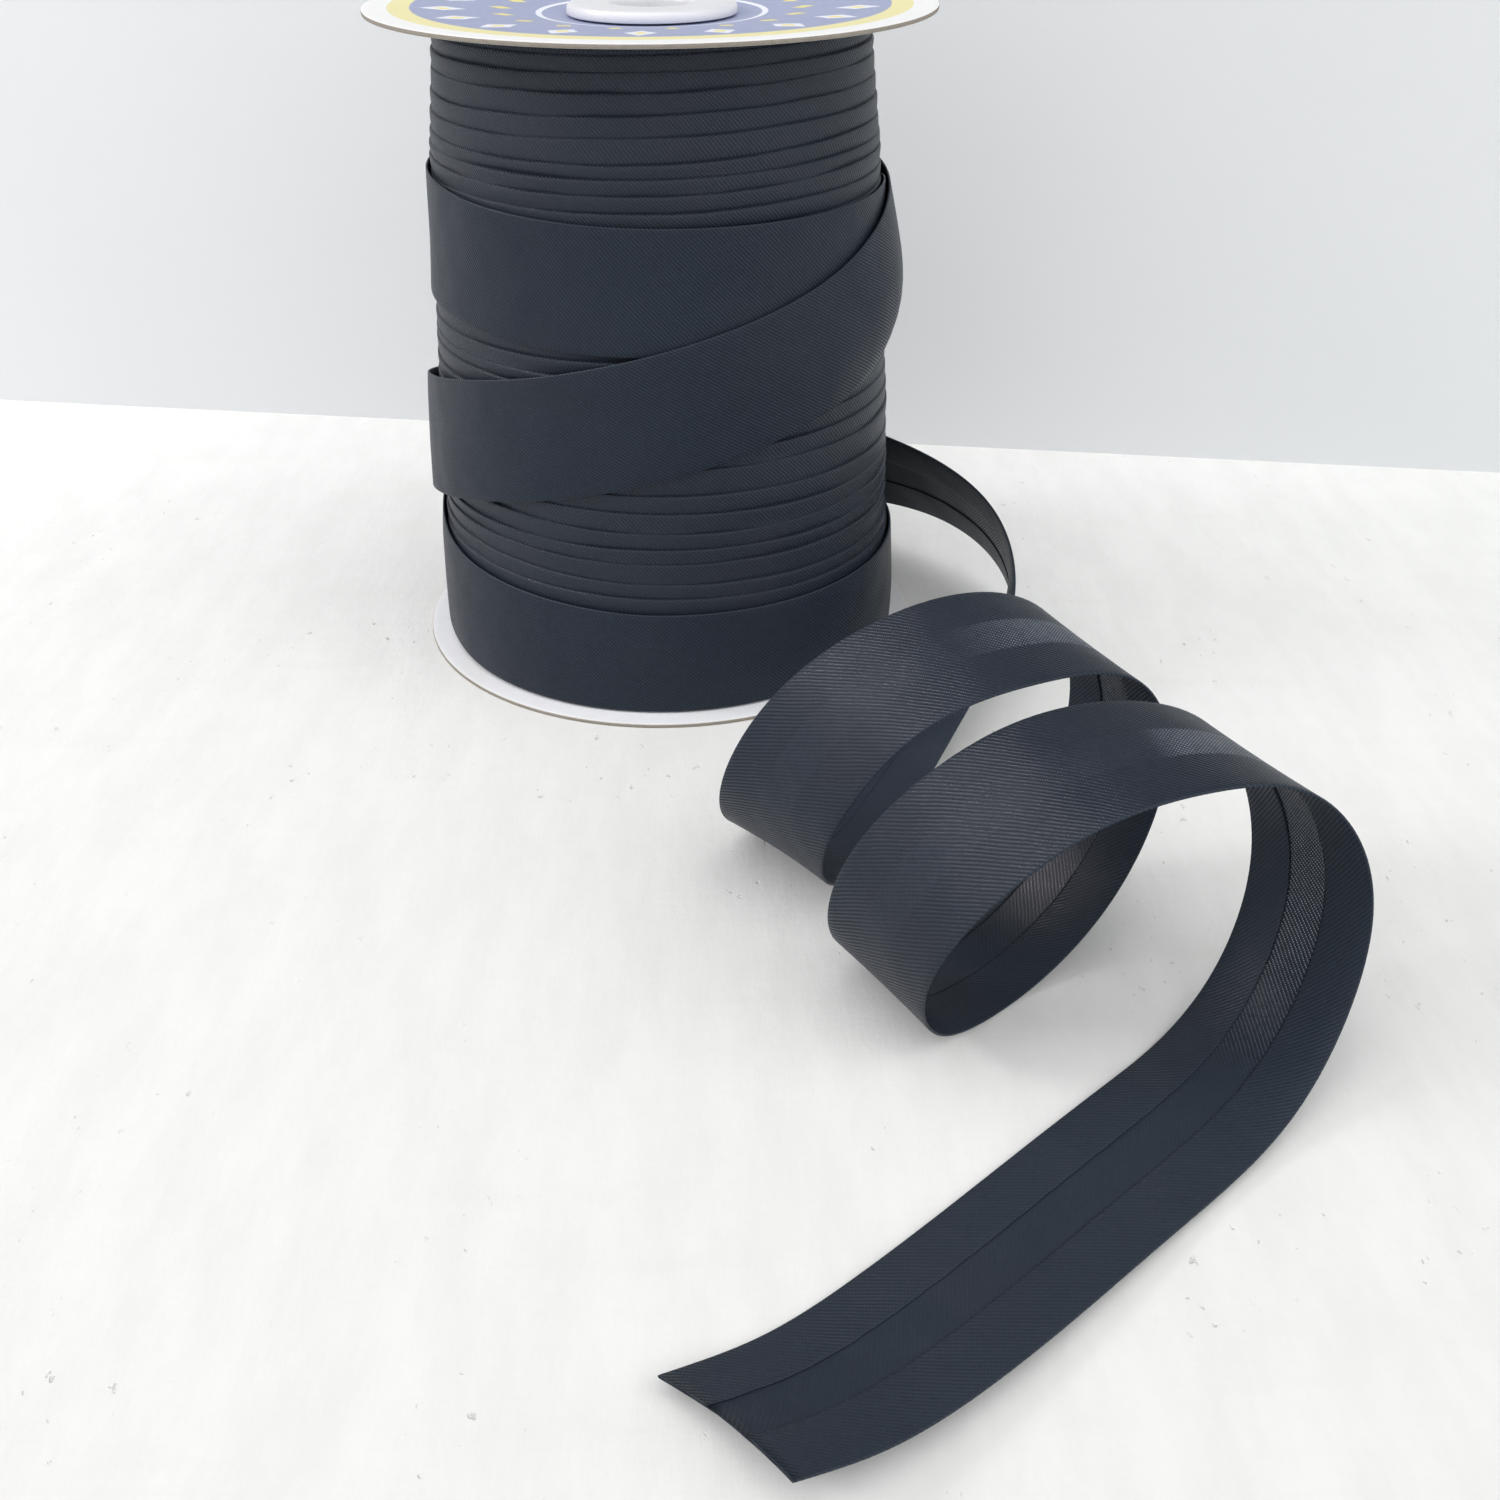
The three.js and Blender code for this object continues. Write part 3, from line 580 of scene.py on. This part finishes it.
# s: distance along the strip from there; x, y, z: its middle, from the reel's axis; ax, ay, az: direction across it
STRIP_LOOSE = [
    #   s        x        y       z      ax      ay      az
    (0.0, -51.58, -7.65, 48.63, 0.014, 0.260, 0.965), (12.3, -52.01, 4.22, 45.56, 0.069, 0.251, 0.965),
    (30.7, -47.67, 21.41, 40.97, 0.145, 0.216, 0.966), (49.1, -37.83, 36.20, 36.36, 0.202, 0.163, 0.966),
    (67.7, -24.14, 47.75, 31.60, 0.183, 0.175, 0.967), (98.5, 4.54, 55.58, 25.35, 0.130, 0.238, 0.963),
    (117.0, 22.31, 51.33, 23.94, 0.072, 0.113, 0.991), (135.1, 38.00, 42.18, 23.73, -0.099, -0.128, 0.987),
    (153.4, 52.03, 30.52, 23.75, -0.283, -0.313, 0.907), (165.7, 60.80, 21.84, 23.63, -0.338, -0.344, 0.876),
    (196.7, 76.25, -4.28, 19.81, -0.291, -0.278, 0.915), (214.8, 77.37, -21.69, 15.55, -0.094, -0.276, 0.957),
    (232.2, 70.86, -37.22, 11.28, 0.319, -0.423, 0.848), (261.8, 53.33, -60.31, 5.41, 0.749, -0.569, 0.340),
    (298.5, 35.00, -91.62, 0.76, 0.874, -0.486, -0.013), (310.8, 29.43, -102.42, 2.44, 0.872, -0.480, -0.092),
    (328.9, 23.50, -116.55, 11.63, 0.779, -0.562, -0.278), (346.9, 24.04, -125.23, 27.10, 0.571, -0.725, -0.384),
    (359.1, 29.08, -127.26, 37.98, 0.465, -0.810, -0.356), (377.3, 42.01, -125.74, 50.48, 0.335, -0.914, -0.228),
    (395.9, 59.26, -120.98, 55.04, 0.321, -0.932, -0.166), (414.3, 75.25, -114.53, 49.81, 0.397, -0.918, 0.015),
    (426.2, 81.08, -112.02, 39.87, 0.461, -0.882, 0.095), (457.1, 75.19, -118.53, 11.61, 0.590, -0.804, 0.074),
    (494.5, 49.03, -141.02, 1.19, 0.676, -0.735, -0.047), (506.6, 41.55, -148.89, 6.29, 0.642, -0.750, -0.163),
    (524.7, 38.93, -155.68, 22.28, 0.487, -0.838, -0.247), (549.9, 52.66, -155.24, 42.70, 0.360, -0.905, -0.228),
    (562.6, 63.31, -152.73, 49.00, 0.307, -0.937, -0.165), (581.3, 81.19, -148.34, 51.46, 0.260, -0.965, -0.030),
    (593.6, 92.67, -145.28, 48.38, 0.288, -0.953, 0.099), (624.0, 106.88, -145.87, 23.60, 0.473, -0.834, 0.283),
    (642.2, 101.88, -154.30, 8.62, 0.570, -0.782, 0.252), (660.2, 90.79, -166.58, 2.01, 0.646, -0.755, 0.113),
    (672.3, 82.08, -174.99, 1.22, 0.660, -0.750, 0.042), (690.6, 68.57, -187.23, 1.24, 0.661, -0.749, 0.050),
    (727.0, 41.58, -211.65, 2.14, 0.637, -0.761, 0.124), (745.2, 26.98, -222.48, 3.10, 0.615, -0.766, 0.185),
    (757.5, 16.50, -228.43, 5.39, 0.611, -0.758, 0.228),
]
STATION = 1.6                     # spacing of the strip's sections
ACROSS = 17                       # points of the reference surface across the strip


def strip_surface():
    """Reference surface of the strip as a grid of points, half width and distance along it at each station."""
    t = np.array(STRIP_ON_REEL)
    turn = np.arange(t[0, 0], TURN_END, math.degrees(STATION / 50.0))
    col = lambda i, q: hermite(t[:, 0], t[:, i], q)
    mid, half = col(1, turn), col(2, turn)
    w = np.linspace(-1, 1, ACROSS)
    slope = (col(1, turn + 1.5) - col(1, turn - 1.5)) / math.radians(3.0) / 50.0
    slope = np.convolve(np.pad(slope, 6, mode="edge"), np.ones(13) / 13, "valid")
    tilt = np.arctan(slope)
    u = half[:, None] * w[None]
    z = mid[:, None] + u * np.cos(tilt)[:, None]
    at = turn[:, None] - np.degrees(u * np.sin(tilt)[:, None] / 50.0)
    low, high, belly = (col(i, turn)[:, None] for i in (3, 4, 5))
    rise = low + (high - low) * (w + 1) / 2 + belly * (1 - w ** 2) * (1 - 0.45 * w)
    r = wound_radius(z) + rise - OUTER
    a = np.radians(-at)
    on_reel = np.stack([r * np.cos(a), r * np.sin(a), z], -1)
    s_reel = np.r_[0, np.cumsum(np.linalg.norm(np.diff(on_reel[:, ACROSS // 2], axis=0), axis=1))]

    path = natural_spline(STRIP_LOOSE)
    total = STRIP_LOOSE[-1][0]
    s = np.linspace(0, total, int(total / STATION) + 1)[1:]
    v = path(s)
    ax = v[:, 3:] / np.linalg.norm(v[:, 3:], axis=1, keepdims=True)
    loose = v[:, None, :3] + TAPE_HALF * w[None, :, None] * ax[:, None]
    # the cut end is a little skew: its lower corner reaches further
    fade = np.clip((s - total + 10.0) / 10.0, 0, 1)[:, None, None] ** 2
    skew = (1.8 * np.clip((-w - 0.1) / 0.9, 0, 1) ** 1.2 + 0.5 * np.clip((w - 0.3) / 0.7, 0, 1) ** 2)[None, :, None]
    ahead = np.gradient(loose, axis=0) / STATION
    loose = loose + ahead * fade * skew
    grid = np.concatenate([on_reel, loose])
    halves = np.r_[half, np.full(len(s), TAPE_HALF)]
    along = np.r_[s_reel, s_reel[-1] + s]
    # ease the join between the two tables
    n, reach = len(turn), 9
    for _ in range(12):
        lo, hi = n - reach, n + reach
        grid[lo:hi] = 0.25 * grid[lo - 1:hi - 1] + 0.5 * grid[lo:hi] + 0.25 * grid[lo + 1:hi + 1]
    grid = grid + np.array([REEL_X, REEL_Y, 0.0])
    return grid, halves, along, n


def strip_section(half, lift_low, lift_high):
    """Middle line of the cloth in a section: from one raw edge round the fold, over the face and back to the other.
    Rows of (u, t, layer): u across the strip, t towards the flaps."""
    face_t = -OUTER + CLOTH / 2
    flap_t = face_t + 2 * FOLD_R
    k = half / TAPE_HALF
    rows = []
    for f in (0.0, 0.03, 0.10, 0.4, 0.7, 1.0):
        lift = lift_low * (1 - f) ** 2 - 0.06 * (1 - f) ** 8
        rows.append((-half + FLAP_LOW * k + (FOLD_R - FLAP_LOW * k) * f, flap_t + lift, 1.0))
    for a in np.linspace(0, 180, 6)[1:-1]:
        rows.append((-half + FOLD_R - FOLD_R * math.sin(math.radians(a)), face_t + FOLD_R + FOLD_R * math.cos(math.radians(a)), 1.0))
    us = np.r_[-half + FOLD_R, np.linspace(-half + 1.2, half - 1.2, 11), half - FOLD_R]
    for u in us:
        rows.append((u, face_t, 0.0))
    for a in np.linspace(180, 0, 6)[1:-1]:
        rows.append((half - FOLD_R + FOLD_R * math.sin(math.radians(a)), face_t + FOLD_R + FOLD_R * math.cos(math.radians(a)), 1.0))
    for f in (1.0, 0.7, 0.4, 0.12, 0.04, 0.0):
        lift = lift_high * (1 - f) ** 2 - 0.08 * (1 - f) ** 8
        rows.append((half - FLAP_HIGH * k + (FLAP_HIGH * k - FOLD_R) * f, flap_t + lift, 1.0))
    return np.array(rows)


def strip():
    grid, halves, along, joint = strip_surface()
    ns = len(along)
    d_s = np.gradient(grid, axis=0)
    d_u = np.gradient(grid, axis=1)
    normal = np.cross(d_s, d_u)
    normal /= np.linalg.norm(normal, axis=2, keepdims=True)
    w = np.linspace(-1, 1, ACROSS)
    rng = np.random.default_rng(9)
    ph = rng.uniform(0, 6.28, 8)
    wave = lambda q, L, i: np.sin(q * 2 * math.pi / L + ph[i])
    ravel = 0.03 * (wave(along, 3.7, 0) + wave(along, 5.9, 1) + wave(along, 9.1, 2))
    ravel2 = 0.03 * (wave(along, 4.3, 3) + wave(along, 6.7, 4) + wave(along, 10.3, 5))
    lift_l = 0.03 + 0.02 * wave(along, 71.0, 6)
    lift_h = 0.01 + 0.01 * wave(along, 53.0, 7)
    sections, dev = [], None
    for i in range(ns):
        sec = strip_section(halves[i], lift_l[i], lift_h[i])
        sec[0, 0] += ravel[i]
        sec[-1, 0] += ravel2[i]
        sections.append(sec)
    sec = np.array(sections)                                   # ns, np, 3
    step = np.hypot(np.diff(sec[..., 0], axis=1), np.diff(sec[..., 1], axis=1))
    dev = np.concatenate([np.zeros((ns, 1)), np.cumsum(step, 1)], 1)
    # the cloth's two sides, offset from its middle line inside the section
    du = np.gradient(sec[..., 0], axis=1)
    dt = np.gradient(sec[..., 1], axis=1)
    ln = np.hypot(du, dt)
    nu, nt = dt / ln, -du / ln                                  # points out of the folded strip
    n = sec.shape[1]

    def place(u, t):
        q = np.clip((u / halves[:, None] + 1) / 2 * (ACROSS - 1), 0, ACROSS - 1.0001)
        k = q.astype(int)
        f = (q - k)[..., None]
        rows = np.arange(ns)[:, None]
        base = grid[rows, k] * (1 - f) + grid[rows, k + 1] * f
        nn = normal[rows, k] * (1 - f) + normal[rows, k + 1] * f
        over = (u - np.clip(u, -halves[:, None], halves[:, None]))[..., None]
        return base + nn * t[..., None] + over * d_u[rows, k] / np.linalg.norm(d_u[rows, k], axis=-1, keepdims=True)

    h = np.full(n, CLOTH / 2)
    h[:3] *= (0.45, 0.80, 1.0)                                  # raw edges are pressed thin
    h[-3:] *= (1.0, 0.55, 0.25)
    uo, to = sec[..., 0] - nu * h * -1, sec[..., 1] - nt * h * -1
    ui, ti = sec[..., 0] + nu * h * -1, sec[..., 1] + nt * h * -1
    outer, inner = place(uo, to), place(ui, ti)
    for p, t in ((outer, to), (inner, ti)):
        p[..., 2] = np.maximum(p[..., 2], 0.03 + (t + OUTER))
    ring = np.concatenate([outer, inner[:, ::-1]], 1)          # ns, 2n, 3
    uv_u = np.concatenate([dev, dev[:, ::-1]], 1)
    pl_u = np.concatenate([sec[..., 0], sec[:, ::-1, 0]], 1) / halves[:, None] * TAPE_HALF + TAPE_HALF
    lay = np.concatenate([sec[..., 2], np.maximum(sec[:, ::-1, 2], 0.25)], 1)
    nr = 2 * n
    faces, cv, cu = grid_faces(ns, nr, False, True)
    cm = cu % nr
    uv = np.stack([uv_u[cv, cm], along[cv]], -1)
    uv2 = np.stack([pl_u[cv, cm], lay[cv, cm]], -1)
    flat = ring.reshape(-1, 3)
    caps, cap_uv, cap_uv2 = [], [], []
    for i, turn_over in ((0, False), (ns - 1, True)):
        for j in range(n - 1):
            q = [i * nr + j, i * nr + j + 1, i * nr + (nr - 2 - j), i * nr + (nr - 1 - j)]
            if turn_over:
                q = q[::-1]
            caps.append(q)
            cap_uv.append([(dev[i, j], along[i])] * 4)
            cap_uv2.append([(0.0, 1.0)] * 4)
    if not outward(flat, np.concatenate([faces, np.array(caps)])):
        faces, uv, uv2 = faces[:, ::-1], uv[:, ::-1], uv2[:, ::-1]
        caps = [c[::-1] for c in caps]
    faces = np.concatenate([faces, np.array(caps)])
    uv = np.concatenate([uv, np.array(cap_uv)])
    uv2 = np.concatenate([uv2, np.array(cap_uv2)])
    ob = mesh_object("folded_strip", flat, faces, uv, uv2)
    start = float(along[joint])
    stretches = [  # start, fully open, end, shut again, share: from the place where the strip leaves the reel
        (300.0, 330.0, 630.0, 655.0, 0.05), (384.0, 402.0, 440.0, 458.0, 1.0), (575.0, 581.0, 628.0, 660.0, 1.0),
    ]
    ob.data.materials.append(satin("satin_strip", [tuple(start + d for d in row[:4]) + row[4:] for row in stretches]))
    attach(ob, "root")
    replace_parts(ob, "binding_loose_end")
    return ob


strip()


# ---- stage: pale table, pale wall, soft light -----------------------------------------------------------
def plane(name, corners, mat):
    me = bpy.data.meshes.new(name)
    me.from_pydata([Vector(c) * MM for c in corners], [], [(0, 1, 2, 3)])
    ob = bpy.data.objects.new(name, me)
    bpy.context.scene.collection.objects.link(ob)
    me.materials.append(mat)
    return ob


def table_paint():
    """White plaster board: faint brush strokes, fine pits and a few flecks."""
    m = Mat("table_paint")
    pos = m.coords()
    stroke = m.noise(m.vmath("MULTIPLY", pos, (1.0, 0.28, 1.0)), 95.0, 6.0, 0.68)
    cross = m.noise(m.vmath("MULTIPLY", pos, (0.25, 1.0, 1.0)), 60.0, 5.0, 0.66)
    fleck = m.noise(m.vmath("MULTIPLY", pos, (1.0, 0.6, 1.0)), 420.0, 3.0, 0.62)
    pit = m.math("MULTIPLY", m.range(fleck, 0.66, 0.72), m.range(m.noise(pos, 24.0, 2.0), 0.50, 0.62))
    c = m.mix(m.range(stroke, 0.3, 0.7), rgb(228, 228, 225), rgb(234, 234, 231))
    c = m.mix(m.range(cross, 0.55, 0.75, 0.0, 0.5), c, rgb(226, 226, 221))
    c = m.mix(m.math("MULTIPLY", pit, 0.55), c, rgb(184, 182, 174))
    m.set(Base_Color=c, Roughness=0.7, Specular_IOR_Level=0.3)
    height = m.math("SUBTRACT", m.math("ADD", m.math("MULTIPLY", stroke, 0.6), m.math("MULTIPLY", cross, 0.4)), m.math("MULTIPLY", pit, 0.5))
    m.set(Normal=m.bump(height, 0.5, 0.0009))
    return m.mat


def wall_paint():
    m = Mat("wall_paint")
    m.set(Base_Color=m.mix(m.noise(m.coords(), 9.0, 2.0), rgb(212, 214, 215), rgb(216, 218, 219)), Roughness=0.9)
    return m.mat


plane("table", [(-1500, -1400, 0), (1500, -1400, 0), (1500, -12, 0), (-1500, 420, 0)], table_paint())
plane("wall", [(-1500, 420, -60), (1500, -12, -60), (1500, -12, 190), (-1500, 420, 190)], wall_paint())


def soft_light(name, place, aim, size, power, colour, sheen_only=False):
    data = bpy.data.lights.new(name, "AREA")
    data.shape, data.size, data.energy, data.color = "SQUARE", size, power, colour
    ob = bpy.data.objects.new(name, data)
    ob.visible_diffuse = not sheen_only
    ob.location = place
    ob.rotation_euler = (Vector(aim) - Vector(place)).to_track_quat("-Z", "Y").to_euler()
    bpy.context.scene.collection.objects.link(ob)


soft_light("light_top", (-0.30, -0.35, 1.50), (0.0, 0.0, 0.03), 1.6, 6.8, (1.0, 1.0, 0.99))
soft_light("light_window", (-1.20, -0.05, 0.72), (0.0, 0.0, 0.03), 0.32, 5.2, (1.0, 0.94, 1.0))
soft_light("light_glint", (-0.78, 0.31, 1.13), (0.0, -0.05, 0.03), 0.30, 14.0, (1.0, 0.94, 1.0), True)
soft_light("light_fill", (0.95, -0.50, 0.80), (0.05, 0.05, 0.05), 1.0, 3.6, (1.0, 1.0, 1.0))


def room():
    """Soft surroundings, dimmer at the back and above the wall."""
    world = bpy.data.worlds.new("world")
    world.use_nodes = True
    t = world.node_tree
    way, axes = t.nodes.new("ShaderNodeTexCoord"), t.nodes.new("ShaderNodeSeparateXYZ")
    dim = t.nodes.new("ShaderNodeMapRange")
    dim.interpolation_type = "SMOOTHSTEP"
    for i, v in ((1, -0.35), (2, 0.55), (3, 1.12), (4, 0.14)):
        dim.inputs[i].default_value = v
    t.links.new(way.outputs["Generated"], axes.inputs[0])
    t.links.new(axes.outputs[1], dim.inputs[0])
    back = t.nodes["Background"]
    back.inputs[0].default_value = (0.97, 0.98, 1.0, 1.0)
    t.links.new(dim.outputs[0], back.inputs[1])
    bpy.context.scene.world = world


room()
bpy.context.scene.view_settings.view_transform = "Standard"
